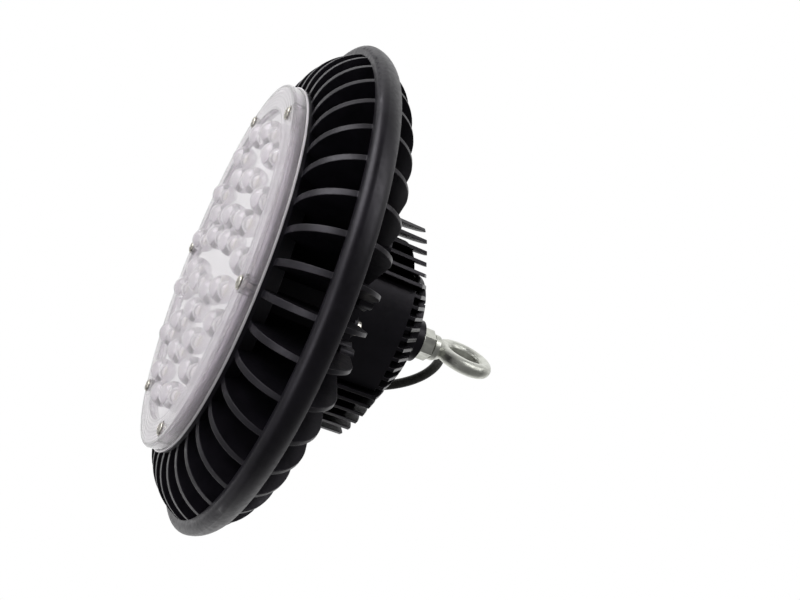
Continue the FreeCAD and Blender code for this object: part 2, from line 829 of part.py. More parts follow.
# ---------------------------------------------------------------------------
# Driver housing
# ---------------------------------------------------------------------------
def driver_housing():
    """One casting: flange, cup and neck, with parallel fins cut to one turned outline."""
    body = new_body("driver_housing", turn=dim.housing_phase)
    core = outline(
        new_sketch(body, "XZ_Plane"),
        (ZERO, dim.tower_top), (tower_outer_radius, dim.tower_top),
        (tower_outer_radius, flange_back), (dim.cup_radius, flange_back),
        (dim.cup_radius, cup_top), (dim.neck_radius, cup_top),
        (dim.neck_radius, dim.top_height - dim.top_plate_thickness),
        (dim.top_plate_radius, dim.top_height - dim.top_plate_thickness),
        (dim.top_plate_radius, dim.top_height), (dim.eye_boss_radius, dim.top_height),
        (dim.eye_boss_radius, eye_boss_top), (ZERO, eye_boss_top))
    turned(body, core)

    reach = dim.housing_fin_foot_radius + 1
    width = dim.housing_fin_pitch * (HOUSING_FINS - 1)
    first, half = -width / 2, dim.housing_fin_thickness / 2
    plate = outline(new_sketch(body, "XY_Plane", flange_back),
                    (first - half, -reach), (first + half, -reach), (first + half, reach),
                    (first - half, reach))
    fin = padded(body, plate, dim.top_height - flange_back)
    pattern = body.newObject("PartDesign::LinearPattern", "LinearPattern")
    pattern.Originals = [fin]
    pattern.Direction = (origin_feature(body, "X_Axis"), [""])
    pattern.Occurrences = HOUSING_FINS
    bind(pattern, Length=width)
    body.Tip = pattern
    doc.recompute()

    for side in (0, 180):
        fin_gap_walls(body, side)

    outside = reach * 1.5
    trim = outline(
        new_sketch(body, "XZ_Plane"),
        (dim.top_plate_radius, dim.top_height),
        (dim.housing_fin_waist_radius, dim.top_height - dim.housing_fin_waist_drop),
        (dim.housing_fin_corner_radius, dim.top_height - dim.housing_fin_corner_drop),
        (dim.housing_fin_foot_radius, flange_back), (outside, flange_back),
        (outside, dim.top_height + 1), (dim.top_plate_radius, dim.top_height + 1))
    turned(body, trim, "Groove")

    bore = outline(
        new_sketch(body, "XZ_Plane"),
        (ZERO, dim.tower_top - 1), (cup_bore, dim.tower_top - 1),
        (cup_bore, cup_bore_top), (neck_bore, cup_bore_top),
        (neck_bore, neck_bore_top), (ZERO, neck_bore_top))
    turned(body, bore, "Groove")

    lugs = disc(new_sketch(body, "XY_Plane", flange_back - 1),
                lug_circle, ZERO, dim.lug_radius)
    polar(body, [padded(body, lugs, dim.lug_height + 1)], LUGS)
    hole_ring(body, lug_circle, dim.housing_screw_radius + dim.flange_hole_clearance,
              dim.tower_top - 1, dim.housing_flange_thickness + dim.lug_height + 2, LUGS, ZERO)
    through = eye_boss_top - neck_bore_top + 2
    cos_phase, sin_phase = on_circle(1, dim.housing_phase)
    gland_x = dim.gland_x * cos_phase + dim.gland_y * sin_phase
    gland_y = dim.gland_y * cos_phase - dim.gland_x * sin_phase
    for x, y, radius in ((ZERO, ZERO, dim.eye_bolt_radius + dim.eye_bolt_clearance),
                         (gland_x, gland_y,
                          dim.gland_thread_radius + dim.screw_hole_clearance)):
        hole = disc(new_sketch(body, "XY_Plane", neck_bore_top - 1), x, y, radius)
        pocketed(body, hole, through)
    slot = outline(new_sketch(body, "XY_Plane", dim.top_height, turn=dim.slot_phase),
                   (dim.slot_inner_radius, -dim.slot_width / 2),
                   (dim.top_plate_radius + 1, -dim.slot_width / 2),
                   (dim.top_plate_radius + 1, dim.slot_width / 2),
                   (dim.slot_inner_radius, dim.slot_width / 2))
    polar(body, [pocketed(body, slot, dim.slot_depth, up=False)], SLOTS)
    hole_ring(body, plate_screw_circle, dim.plate_screw_radius + dim.screw_hole_clearance,
              dim.tower_top, dim.plate_screw_grip, PLATE_SCREWS,
              dim.plate_screw_phase)
    keep(body, "driver_housing")


def fin_gap_walls(body, turn):
    """A smooth wall over the ends of the middle fins, on the side turned from -Y."""
    half = dim.pocket_half_width
    radius = dim.pocket_wall_radius
    way = 1 if turn else -1
    side = "right" if turn else "left"
    sagitta = half * half / (radius * 2)
    edge = (radius - sagitta * 1.02) * way
    wall = outline(
        new_sketch(body, "XY_Plane", flange_back - 1),
        (-half, edge, radius, side), (half, edge), (half, cup_bore * way),
        (-half, cup_bore * way))
    padded(body, wall, dim.top_height - dim.pocket_wall_drop - flange_back + 1)
    beyond = dim.housing_fin_foot_radius + 3
    fins = outline(
        new_sketch(body, "XY_Plane", flange_back),
        (-half, edge, radius, side), (half, edge), (half, beyond * way), (-half, beyond * way))
    pocketed(body, fins, dim.top_height - flange_back)


def driver():
    """The plate, board and components that turn the supply into current for the board."""
    plate = new_body("driver_plate")
    padded(plate, disc(new_sketch(plate, "XY_Plane", plate_front), ZERO, ZERO,
                       dim.cup_radius + dim.driver_plate_lap), dim.driver_plate_thickness)
    hole_ring(plate, plate_screw_circle, dim.plate_screw_radius + dim.flange_hole_clearance,
              plate_front - 1, dim.driver_plate_thickness + 2, PLATE_SCREWS,
              plate_screw_phase)
    window = disc(new_sketch(plate, "XY_Plane", plate_front - 1), dim.lead_window_x, ZERO,
                  dim.lead_window_radius)
    pocketed(plate, window, dim.driver_plate_thickness + 2)
    keep(plate, "driver_plate")

    posts = new_body("board_standoffs", turn=plate_screw_phase)
    post = disc(new_sketch(posts, "XY_Plane", dim.tower_top), dim.standoff_circle, ZERO,
                dim.standoff_radius)
    polar(posts, [padded(posts, post, dim.standoff_height)], PLATE_SCREWS)
    keep(posts, "board_standoffs")

    keep(cylinder(cup_bore - dim.driver_board_gap, dim.driver_board_thickness, z=driver_board_bottom),
         "driver_board")
    keep(transformer(), "transformer")
    row = doc.addObject("Part::Compound", "Capacitors")
    row.Links = [
        cylinder(dim.capacitor_radius, dim.capacitor_height,
                 dim.capacitor_x + dim.capacitor_spacing * place_in_row, dim.capacitor_y,
                 driver_board_top)
        for place_in_row in (0, 1)]
    keep(row, "capacitors")
    choke = hoop(dim.choke_radius, dim.choke_section)
    keep(place(choke, dim.choke_x, dim.choke_y, driver_board_top + dim.choke_section), "choke")
    keep(box(dim.terminal_length, dim.terminal_width, dim.terminal_height, dim.gland_x,
             dim.gland_y, driver_board_top), "terminal_block")
    tail_bottom = driver_board_top + dim.terminal_height
    keep(cylinder(dim.cord_radius, gland_top - tail_bottom, dim.gland_x, dim.gland_y,
                  tail_bottom), "supply_tail")


def transformer():
    """A laminated core with its winding standing out on both sides."""
    core = box(dim.transformer_length, dim.transformer_width * CORE_WIDTH,
               dim.transformer_height, dim.transformer_x, dim.transformer_y, driver_board_top)
    winding_bottom = driver_board_top + dim.transformer_height * (1 - WINDING_HEIGHT) / 2
    winding = box(dim.transformer_length * WINDING_LENGTH, dim.transformer_width,
                  dim.transformer_height * WINDING_HEIGHT, dim.transformer_x,
                  dim.transformer_y, winding_bottom)
    return fuse(core, winding)


# ---------------------------------------------------------------------------
# Eye bolt and cord gland
# ---------------------------------------------------------------------------
def eye_bolt():
    """A forged eye bolt whose collar and ring stand over its lock nut."""
    bottom = neck_bore_top - dim.eye_washer_thickness - dim.eye_nut_height - dim.eye_tail
    shoulder = collar_bottom + dim.eye_collar_height
    neck_top = shoulder + dim.eye_shoulder_height
    blank = fuse(
        cylinder(dim.eye_bolt_radius, neck_top - bottom, z=bottom),
        cylinder(dim.eye_collar_radius, dim.eye_collar_height, z=collar_bottom),
        cone(dim.eye_collar_radius, dim.eye_shoulder_radius, dim.eye_shoulder_height,
             z=shoulder),
        upright(hoop(dim.eye_ring_radius, dim.eye_section_radius), ZERO))
    land = doc.addObject("Part::Cylinder", "Land")
    bind(land, Radius=dim.eye_hole_radius, Height=dim.eye_section_radius * 2)
    keep(cut(blank, upright(land, dim.eye_section_radius)), "eye_bolt")


def hoop(radius, section_radius):
    """A round ring turned about +Z from its section."""
    body = new_body("Hoop")
    turned(body, disc(new_sketch(body, "XZ_Plane"), radius, ZERO, section_radius))
    return body


def upright(obj, back):
    """Turn an object's own axis level, into the axis of the eye, and centre it there."""
    axis_x, axis_y = on_circle(1, dim.eye_turn)
    place(obj, -back * axis_x, -back * axis_y, eye_ring_height)
    level = FreeCAD.Rotation(FreeCAD.Vector(0, 1, 0), 90)
    turn = FreeCAD.Rotation(FreeCAD.Vector(0, 0, 1), dim.eye_turn.value)
    obj.Placement.Rotation = turn * level
    return obj


def eye_fastenings():
    """The nut and washer on the housing, and those that lock the bolt inside it."""
    inner_washer = neck_bore_top - dim.eye_washer_thickness
    for label, height in (("eye_washer", eye_boss_top), ("eye_lock_washer", inner_washer)):
        keep(ring(dim.eye_washer_radius, dim.eye_bolt_radius, dim.eye_washer_thickness, height),
             label)
    for label, height in (("eye_nut", nut_bottom), ("eye_lock_nut",
                                                     inner_washer - dim.eye_nut_height)):
        nut = hexagon(dim.eye_nut_radius, dim.eye_nut_height, z=height)
        keep(cut(nut, cylinder(dim.eye_bolt_radius, dim.eye_nut_height + 2, z=height - 1)), label)


def cord_gland():
    """Body with a hexagon and a thread into the housing, cap, and the seal between them."""
    x, y = dim.gland_x, dim.gland_y
    thread_bottom = neck_bore_top - dim.gland_tail
    seal_bottom = gland_hex_top - dim.gland_seal_height / 2
    bore = cylinder(dim.cord_radius, gland_top - thread_bottom + 2, x, y, thread_bottom - 1)
    seal = cylinder(dim.gland_seal_radius, dim.gland_seal_height, x, y, seal_bottom)
    body = fuse(cylinder(dim.gland_thread_radius, dim.top_height - thread_bottom, x, y,
                         thread_bottom),
                hexagon(dim.gland_hex_radius, dim.gland_hex_height, x, y, dim.top_height))
    keep(cut(body, fuse(bore, seal)), "gland_body")
    cap = cone(dim.gland_cap_radius, dim.gland_cap_top_radius, dim.gland_cap_height, x, y,
               gland_hex_top)
    bore = cylinder(dim.cord_radius, dim.gland_cap_height + 2, x, y, gland_hex_top - 1)
    seal = cylinder(dim.gland_seal_radius, dim.gland_seal_height, x, y, seal_bottom)
    keep(cut(cap, fuse(bore, seal)), "gland_cap")
    keep(ring(dim.gland_seal_radius, dim.cord_radius, dim.gland_seal_height, seal_bottom, x, y),
         "gland_seal")


# ---------------------------------------------------------------------------
# Cord and leads
# ---------------------------------------------------------------------------
def cord():
    """The supply cord, and the three bare conductors that fan out of its end."""
    tube("power_cord", CORD_ROUTE, dim.cord_radius.value)
    end = FreeCAD.Vector(*CORD_ROUTE[-1])
    along = (end - FreeCAD.Vector(*CORD_ROUTE[-2])).normalize()
    across = along.cross(FreeCAD.Vector(1, 0, 0)).normalize()
    radius, length = dim.conductor_radius.value, dim.conductor_length.value
    for index, label in enumerate(("conductor_live", "conductor_neutral", "conductor_earth")):
        outward = FreeCAD.Rotation(along, 120 * index).multVec(across)
        start = end + outward * radius * CONDUCTOR_SPREAD
        middle = start + along * length * CONDUCTOR_STRAIGHT
        fan = along * (1 - CONDUCTOR_STRAIGHT) + outward * CONDUCTOR_FAN
        tube(label, [tuple(start), tuple(middle), tuple(middle + fan * length)], radius)


def led_leads():
    """The two leads from the driver board to the back of the light engine."""
    bottom = board_back.value
    height = driver_board_bottom.value - bottom
    for label, side in (("led_lead_red", 1), ("led_lead_black", -1)):
        route = [(x, y * side, bottom + height * share) for x, y, share in LED_LEAD_ROUTE]
        tube(label, route, dim.led_wire_radius.value)


heat_sink()
lens_cover()
light_engine()
flat_gasket("lens_gasket", lens_gasket_radius, seat, up=True)
flat_gasket("housing_gasket", housing_gasket_radius, dim.tower_top, up=False)
driver_housing()
driver()
pan_head_screws("lens_screws", lens_screw_circle, dim.lens_screw_phase, LENS_SCREWS,
                lens_head_seat, seat - lens_head_seat + dim.lens_screw_grip)
pan_head_screws("board_screws", dim.board_screw_circle, ZERO, BOARD_SCREWS, board_front,
                seat - board_front + dim.board_screw_grip)
pan_head_screws("plate_screws", plate_screw_circle, plate_screw_phase, PLATE_SCREWS,
                plate_front,
                dim.tower_top - plate_front + dim.plate_screw_grip - 0.5)
pan_head_screws("housing_screws", lug_circle, dim.housing_phase, LUGS, lug_top,
                lug_top - dim.tower_top + dim.housing_screw_grip, points_up=False)
eye_bolt()
eye_fastenings()
cord_gland()
cord()
led_leads()

doc.recompute()
failed = [obj.Label for obj in doc.Objects if {"Invalid", "Error"} & set(obj.State)]
failed += [label for label, obj in parts.items()
           if obj.Shape.isNull() or not obj.Shape.isValid() or not obj.Shape.Solids]
if failed:
    raise SystemExit(f"failed: {failed}")
os.makedirs("parts", exist_ok=True)
for label, obj in parts.items():
    obj.Shape.exportStep(f"parts/{label}.step")
    print(f"{label}: {len(obj.Shape.Solids)} solid(s), {obj.Shape.Volume:.0f} mm3")
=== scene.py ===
"""High bay light: the visual model, in the frame of its CAD solids, in metres."""
import math

import bmesh
import bpy
from mathutils import Matrix, Vector


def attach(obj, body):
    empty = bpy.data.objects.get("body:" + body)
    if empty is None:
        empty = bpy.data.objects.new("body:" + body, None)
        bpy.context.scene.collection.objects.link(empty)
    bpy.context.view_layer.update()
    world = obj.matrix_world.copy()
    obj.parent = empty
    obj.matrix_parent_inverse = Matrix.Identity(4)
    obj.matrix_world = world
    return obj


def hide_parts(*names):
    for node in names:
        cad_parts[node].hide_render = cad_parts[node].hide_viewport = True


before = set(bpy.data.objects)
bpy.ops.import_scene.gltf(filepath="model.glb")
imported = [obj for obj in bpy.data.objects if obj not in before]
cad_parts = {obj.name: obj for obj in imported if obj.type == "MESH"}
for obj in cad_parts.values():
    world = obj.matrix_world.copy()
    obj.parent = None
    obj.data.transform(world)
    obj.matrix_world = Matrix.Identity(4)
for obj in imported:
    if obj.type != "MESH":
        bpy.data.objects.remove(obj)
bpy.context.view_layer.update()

MM = 0.001

# ---------------------------------------------------------------------------
# Camera: in front of the lens and a little below it, rolled until the light's axis lies
# across the picture
# ---------------------------------------------------------------------------
CAMERA_AT = Vector((0.0, -0.55365, -0.07976))
RIGHT = Vector((-0.36127, -0.33628, 0.86971))
UP = Vector((-0.93180, 0.09510, -0.35029))
BACK = RIGHT.cross(UP).normalized()

camera_data = bpy.data.cameras.new("Camera")
camera_data.lens = 41.369
camera_data.sensor_width = 36.0
camera = bpy.data.objects.new("Camera", camera_data)
bpy.context.collection.objects.link(camera)
camera.matrix_world = Matrix(
    ((RIGHT.x, UP.x, BACK.x, CAMERA_AT.x), (RIGHT.y, UP.y, BACK.y, CAMERA_AT.y),
     (RIGHT.z, UP.z, BACK.z, CAMERA_AT.z), (0, 0, 0, 1)))
bpy.context.scene.camera = camera
bpy.context.scene.view_settings.view_transform = "Standard"


# ---------------------------------------------------------------------------
# Shader nodes; an owner is a material or the world
# ---------------------------------------------------------------------------
def node(owner, kind, **values):
    """A new shader node with the given sockets or properties set."""
    made = owner.node_tree.nodes.new(kind)
    for key, value in values.items():
        if key in made.inputs:
            made.inputs[key].default_value = value
        else:
            setattr(made, key, value)
    return made


def link(owner, source, output, target, socket):
    owner.node_tree.links.new(source.outputs[output], target.inputs[socket])


def math_node(owner, operation, *values):
    """A math node; each value is a number or a pair of a node and the name of its output."""
    made = node(owner, "ShaderNodeMath", operation=operation)
    for index, value in enumerate(values):
        if isinstance(value, tuple):
            link(owner, value[0], value[1], made, index)
        else:
            made.inputs[index].default_value = value
    return made


def spread(owner, source, output, start, end, low=0.0, high=1.0, kind="LINEAR"):
    """A source's values from start to end, carried to the range from low to high."""
    made = node(owner, "ShaderNodeMapRange", interpolation_type=kind)
    for socket, value in (("From Min", start), ("From Max", end), ("To Min", low), ("To Max", high)):
        made.inputs[socket].default_value = value
    link(owner, source, output, made, "Value")
    return made


# ---------------------------------------------------------------------------
# Materials
# ---------------------------------------------------------------------------
def material(name, color, roughness, metallic=0.0):
    """A principled material and its shader."""
    mat = bpy.data.materials.new(name)
    mat.use_nodes = True
    shader = mat.node_tree.nodes["Principled BSDF"]
    shader.inputs["Base Color"].default_value = (*color, 1.0)
    shader.inputs["Roughness"].default_value = roughness
    shader.inputs["Metallic"].default_value = metallic
    return mat, shader


def noise(mat, scale, detail=4.0, stretch=(1.0, 1.0, 1.0)):
    """Noise over the object's own coordinates, with scale in cells per metre."""
    place = node(mat, "ShaderNodeTexCoord")
    mapping = node(mat, "ShaderNodeMapping", Scale=stretch)
    texture = node(mat, "ShaderNodeTexNoise", Scale=scale, Detail=detail)
    link(mat, place, "Object", mapping, "Vector")
    link(mat, mapping, "Vector", texture, "Vector")
    return texture


def ramp(mat, texture, low, high, start=0.35, end=0.65):
    """The texture's value carried between two colours or two grey levels."""
    made = node(mat, "ShaderNodeValToRGB")
    stops = made.color_ramp.elements
    for stop, position, value in zip(stops, (start, end), (low, high)):
        stop.position = position
        stop.color = (*value, 1.0) if hasattr(value, "__len__") else (value, value, value, 1.0)
    link(mat, texture, "Fac", made, "Fac")
    return made


def vary_color(mat, shader, texture, low, high):
    link(mat, ramp(mat, texture, low, high), "Color", shader, "Base Color")


def vary_roughness(mat, shader, texture, low, high):
    link(mat, ramp(mat, texture, low, high), "Color", shader, "Roughness")


def bump(mat, shader, source, output, strength, distance, edge=0.0):
    """Fine relief, over edges that are broken by a small radius."""
    relief = node(mat, "ShaderNodeBump", Strength=strength, Distance=distance)
    link(mat, source, output, relief, "Height")
    if edge:
        rounded = node(mat, "ShaderNodeBevel", Radius=edge, samples=6)
        link(mat, rounded, "Normal", relief, "Normal")
    link(mat, relief, "Normal", shader, "Normal")


def powder_coat():
    """Satin black powder coat with a fine leathery relief."""
    mat, shader = material("powder_coat", (0.006, 0.0055, 0.007), 0.4)
    vary_color(mat, shader, noise(mat, 90.0), (0.0040, 0.0036, 0.0052), (0.0080, 0.0070, 0.0100))
    vary_roughness(mat, shader, noise(mat, 400.0), 0.33, 0.43)
    shader.inputs["Specular IOR Level"].default_value = 0.34
    shader.inputs["Specular Tint"].default_value = (0.94, 0.9, 1.0, 1.0)
    bump(mat, shader, noise(mat, 2200.0, 2.0), "Fac", 0.1, 0.0002, 0.0007)
    return mat


# The lens: its field ends and its brim starts between two radii. Light and dark rings of painted
# highlight and painted shade run outward over the brim and back along the skirt, each at a share of
# that way and with its level; the way is measured as distance from the axis plus height. Its end is
# the lip, painted as a bright highlight.
FIELD_END, BRIM_INSIDE = 0.0965, 0.0985
RINGS_START, RINGS_END = 0.1032, 0.1287
LIP_START = 0.93
# Levels of the painted highlight and painted shade rings along the way across the brim
PAINTED_RING_LEVELS = ((0.0, 0.6), (0.07, 0.9), (0.2, 0.97), (0.3, 0.8), (0.4, 0.96), (0.52, 0.97),
               (0.62, 0.72), (0.7, 0.93), (0.77, 0.92), (0.85, 0.5), (0.9, 0.7), (LIP_START, 1.0))
RINGS_GREEN = 0.955
FIELD_COLOR = (0.99, 0.965, 0.99, 1.0)
# At the lip this much clearness is taken away, so that the lip's painted white highlight shows
CLEAR_SHARE, LIP_HIGHLIGHT_OPAQUE_SHARE = 0.77, 0.55
TURNED_RADIANS_PER_METRE = 2900.0
TURNED_DEPTH = 1.6


def painted_ring_colors(mat, across):
    """The colours of the brim's rings of painted highlight and painted shade, from their levels."""
    made = node(mat, "ShaderNodeValToRGB")
    stops = made.color_ramp.elements
    while len(stops) < len(PAINTED_RING_LEVELS):
        stops.new(0.5)
    for stop, (position, level) in zip(stops, PAINTED_RING_LEVELS):
        stop.position = position
        stop.color = (level, level * RINGS_GREEN, level, 1.0)
    link(mat, across, "Result", made, "Fac")
    return made


def clear_plastic():
    """Clear moulded polycarbonate: a slightly milky field of domes, and round it a brim with light
    and dark rings of painted highlight and painted shade, and fine turned grooves."""
    mat, shader = material("clear_plastic", FIELD_COLOR[:3], 0.04)
    shader.inputs["IOR"].default_value = 1.38
    shader.inputs["Specular IOR Level"].default_value = 0.9
    place = node(mat, "ShaderNodeTexCoord")
    flat = node(mat, "ShaderNodeMapping", Scale=(1.0, 1.0, 0.0))
    link(mat, place, "Object", flat, "Vector")
    radius = node(mat, "ShaderNodeVectorMath", operation="LENGTH")
    link(mat, flat, "Vector", radius, 0)
    brim = spread(mat, radius, "Value", FIELD_END, BRIM_INSIDE)
    axes = node(mat, "ShaderNodeSeparateXYZ")
    link(mat, place, "Object", axes, "Vector")
    outward = math_node(mat, "ADD", (radius, "Value"), (axes, "Z"))
    across = spread(mat, outward, "Value", RINGS_START, RINGS_END)

    # The field keeps its own colour; over the brim, the rings of painted highlight and painted shade
    # take its place
    tone = node(mat, "ShaderNodeMix", data_type="RGBA")
    tone.inputs["A"].default_value = FIELD_COLOR
    link(mat, brim, "Result", tone, "Factor")
    link(mat, painted_ring_colors(mat, across), "Color", tone, "B")
    link(mat, tone, "Result", shader, "Base Color")

    # The lip is made less clear, so that its painted bright highlight shows
    lip = math_node(mat, "GREATER_THAN", (across, "Result"), LIP_START)
    clear = math_node(mat, "MULTIPLY_ADD", (lip, "Value"), -LIP_HIGHLIGHT_OPAQUE_SHARE, CLEAR_SHARE)
    link(mat, clear, "Value", shader, "Transmission Weight")
    vary_roughness(mat, shader, noise(mat, 60.0), 0.04, 0.1)

    phase = math_node(mat, "MULTIPLY", (radius, "Value"), TURNED_RADIANS_PER_METRE)
    turned = math_node(mat, "SINE", (phase, "Value"))
    grooves = math_node(mat, "MULTIPLY", (turned, "Value"), (brim, "Result"))
    grain = noise(mat, 220.0, 2.0)
    height = math_node(mat, "MULTIPLY_ADD", (grooves, "Value"), TURNED_DEPTH, (grain, "Fac"))
    bump(mat, shader, height, "Value", 0.25, 0.0003, 0.0005)
    return mat


def white_board():
    mat, shader = material("white_board", (0.88, 0.87, 0.9), 0.35)
    vary_color(mat, shader, noise(mat, 120.0), (0.85, 0.835, 0.88), (0.9, 0.89, 0.92))
    bump(mat, shader, noise(mat, 1500.0), "Fac", 0.05, 0.0001)
    return mat


def phosphor():
    mat, shader = material("phosphor", (0.75, 0.68, 0.3), 0.5)
    vary_color(mat, shader, noise(mat, 3000.0), (0.7, 0.64, 0.3), (0.82, 0.77, 0.42))
    return mat


def plated(name, low, high, roughness, scratch=1400.0, relief=0.06):
    """Bright plated metal with a light grain."""
    mat, shader = material(name, high, roughness, 1.0)
    vary_color(mat, shader, noise(mat, 300.0), low, high)
    vary_roughness(mat, shader, noise(mat, scratch, 6.0, (1.0, 1.0, 0.3)),
                   roughness * 0.75, roughness * 1.3)
    bump(mat, shader, noise(mat, 900.0, 3.0), "Fac", relief, 0.0002, 0.0004)
    return mat


def plain(name, low, high, roughness, scale=600.0, relief=0.08, edge=0.0003):
    """A moulded or painted surface with mottled colour and fine relief."""
    mat, shader = material(name, high, roughness)
    vary_color(mat, shader, noise(mat, scale), low, high)
    vary_roughness(mat, shader, noise(mat, scale * 1.7), roughness * 0.8, roughness * 1.15)
    bump(mat, shader, noise(mat, scale * 4.0, 3.0), "Fac", relief, 0.0002, edge)
    return mat


COAT = powder_coat()
CLEAR = clear_plastic()
BOARD = white_board()
PHOSPHOR = phosphor()
NICKEL = plated("nickel", (0.42, 0.4, 0.36), (0.72, 0.69, 0.63), 0.2)
ZINC = plated("zinc", (0.68, 0.69, 0.635), (0.77, 0.78, 0.72), 0.42, 400.0, 0.006)
RUBBER = plain("cord_rubber", (0.02, 0.02, 0.016), (0.04, 0.04, 0.033), 0.6, 500.0, 0.14)
BLACK_NYLON = plain("black_nylon", (0.01, 0.01, 0.01), (0.022, 0.022, 0.023), 0.5)
SILICONE = plain("silicone", (0.62, 0.62, 0.63), (0.72, 0.72, 0.73), 0.55)
FILM = plain("thermal_film", (0.42, 0.44, 0.47), (0.52, 0.54, 0.57), 0.7)
SHEET = plain("sheet_metal", (0.5, 0.5, 0.52), (0.62, 0.62, 0.64), 0.35)
NYLON = plain("natural_nylon", (0.55, 0.54, 0.49), (0.68, 0.66, 0.6), 0.45)
CIRCUIT = plain("circuit_board", (0.02, 0.12, 0.05), (0.035, 0.18, 0.08), 0.4)
CORE = plain("transformer_core", (0.07, 0.055, 0.035), (0.13, 0.1, 0.07), 0.5)
SLEEVE = plain("capacitor_sleeve", (0.01, 0.012, 0.025), (0.02, 0.024, 0.05), 0.3)
COPPER = plain("copper_winding", (0.25, 0.07, 0.025), (0.4, 0.13, 0.05), 0.3)
INSULATION = {
    "brown": plain("brown_core", (0.05, 0.018, 0.008), (0.09, 0.03, 0.012), 0.4),
    "blue": plain("blue_core", (0.004, 0.02, 0.18), (0.01, 0.04, 0.3), 0.4),
    "green": plain("green_core", (0.03, 0.2, 0.02), (0.3, 0.34, 0.02), 0.4),
    "red": plain("red_core", (0.3, 0.008, 0.006), (0.45, 0.015, 0.01), 0.4),
    "black": plain("black_core", (0.006, 0.006, 0.006), (0.014, 0.014, 0.014), 0.4),
}

FINISHES = {
    "heat_sink": COAT, "driver_housing": COAT, "lens_cover": CLEAR, "lens_screws": NICKEL,
    "lens_gasket": SILICONE, "thermal_pad": FILM, "led_board": BOARD, "led_chips": PHOSPHOR,
    "board_screws": NICKEL, "housing_gasket": SILICONE, "housing_screws": NICKEL,
    "driver_plate": SHEET, "plate_screws": NICKEL, "board_standoffs": NYLON,
    "driver_board": CIRCUIT, "transformer": CORE, "capacitors": SLEEVE, "choke": COPPER,
    "terminal_block": NYLON, "supply_tail": RUBBER, "eye_bolt": ZINC, "eye_nut": ZINC,
    "eye_washer": ZINC, "eye_lock_nut": ZINC, "eye_lock_washer": ZINC,
    "gland_body": BLACK_NYLON, "gland_cap": BLACK_NYLON, "gland_seal": SILICONE,
    "conductor_live": INSULATION["brown"], "conductor_neutral": INSULATION["blue"],
    "conductor_earth": INSULATION["green"], "led_lead_red": INSULATION["red"],
    "led_lead_black": INSULATION["black"],
}
for name, finish in FINISHES.items():
    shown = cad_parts[name]
    shown.data.materials.clear()
    shown.data.materials.append(finish)


# ---------------------------------------------------------------------------
# Supply cord
# ---------------------------------------------------------------------------
CORD_RADIUS = 3.5 * MM
CORD_ROUTE = [
    (-3.0, 27.0, 145.0),
    (-3.0, 27.0, 158.5),
    (-2.0, 31.5, 172.0),
    (1.0, 39.5, 183.0),
    (7.5, 49.0, 189.0),
    (17.0, 58.0, 189.0),
    (26.5, 66.0, 183.5),
    (35.0, 72.5, 173.5),
    (41.5, 77.5, 161.0),
    (46.5, 82.5, 146.5),
    (50.5, 88.0, 131.5),
    (55.0, 94.5, 116.5),
    (60.5, 103.0, 103.0),
    (67.5, 114.0, 91.5),
    (74.5, 125.5, 80.5),
    (80.0, 135.0, 68.0),
    (83.2, 141.0, 54.0),
    (84.0, 143.5, 41.0),
]


def round_curve(name, route, radius, finish):
    """A round cord along a smooth line with the route's points as control points."""
    data = bpy.data.curves.new(name, "CURVE")
    data.dimensions = "3D"
    data.bevel_depth = radius
    data.bevel_resolution = 8
    data.resolution_u = 12
    data.use_fill_caps = True
    spline = data.splines.new("NURBS")
    spline.points.add(len(route) - 1)
    for point, place in zip(spline.points, route):
        point.co = (*[value * MM for value in place], 1.0)
    spline.order_u = 3
    spline.use_endpoint_u = True
    obj = bpy.data.objects.new(name, data)
    bpy.context.collection.objects.link(obj)
    data.materials.append(finish)
    return obj


cord = round_curve("supply_cord", CORD_ROUTE, CORD_RADIUS, RUBBER)
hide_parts("power_cord")
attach(cord, "root")


# ---------------------------------------------------------------------------
# Domed crowns with a cross recess on the heads of the lens screws
# ---------------------------------------------------------------------------
SCREWS, SCREW_CIRCLE, SCREW_PHASE = 6, 106.5 * MM, 32.4
HEAD_TOP, HEAD_RADIUS, CROWN_HEIGHT = 5.15 * MM, 4.0 * MM, 1.7 * MM
CROSS_HALF_WIDTH, CROSS_REACH, CROSS_DEPTH = 0.17, 0.58, 0.8  # shares of the radius and height


def crown_drop(x, y):
    """How far the crown stands out at a place given in shares of its radius."""
    drop = math.sqrt(1.0 - min(1.0, math.hypot(x, y)) ** 3)
    wide, narrow = max(abs(x), abs(y)), min(abs(x), abs(y))
    if narrow < CROSS_HALF_WIDTH and wide < CROSS_REACH:
        drop -= CROSS_DEPTH * (1.0 - wide)
    return drop * CROWN_HEIGHT


def add_crown(shape, centre, rings=16, sides=64):
    """One closed crown, facing down from its centre, as rings of faces round a middle point."""
    rows = []
    for ring in range(1, rings + 1):
        share = ring / rings
        row = []
        for side in range(sides):
            turn = 2.0 * math.pi * side / sides
            x, y = share * math.cos(turn), share * math.sin(turn)
            out = Vector((x * HEAD_RADIUS, y * HEAD_RADIUS, -crown_drop(x, y)))
            row.append(shape.verts.new(centre + out))
        rows.append(row)
    middle = shape.verts.new(centre - Vector((0.0, 0.0, crown_drop(0.0, 0.0))))
    for side in range(sides):
        after = (side + 1) % sides
        shape.faces.new((middle, rows[0][side], rows[0][after]))
        for inner, outer in zip(rows, rows[1:]):
            shape.faces.new((inner[side], outer[side], outer[after], inner[after]))
    shape.faces.new(rows[-1])


def screw_crowns(name, finish):
    """The crowns of all lens screws, as one mesh."""
    shape = bmesh.new()
    for index in range(SCREWS):
        angle = math.radians(SCREW_PHASE + 360.0 / SCREWS * index)
        add_crown(shape, Vector((SCREW_CIRCLE * math.cos(angle), SCREW_CIRCLE * math.sin(angle),
                                 HEAD_TOP)))
    bmesh.ops.recalc_face_normals(shape, faces=shape.faces)
    data = bpy.data.meshes.new(name)
    shape.to_mesh(data)
    shape.free()
    obj = bpy.data.objects.new(name, data)
    bpy.context.collection.objects.link(obj)
    data.materials.append(finish)
    return obj


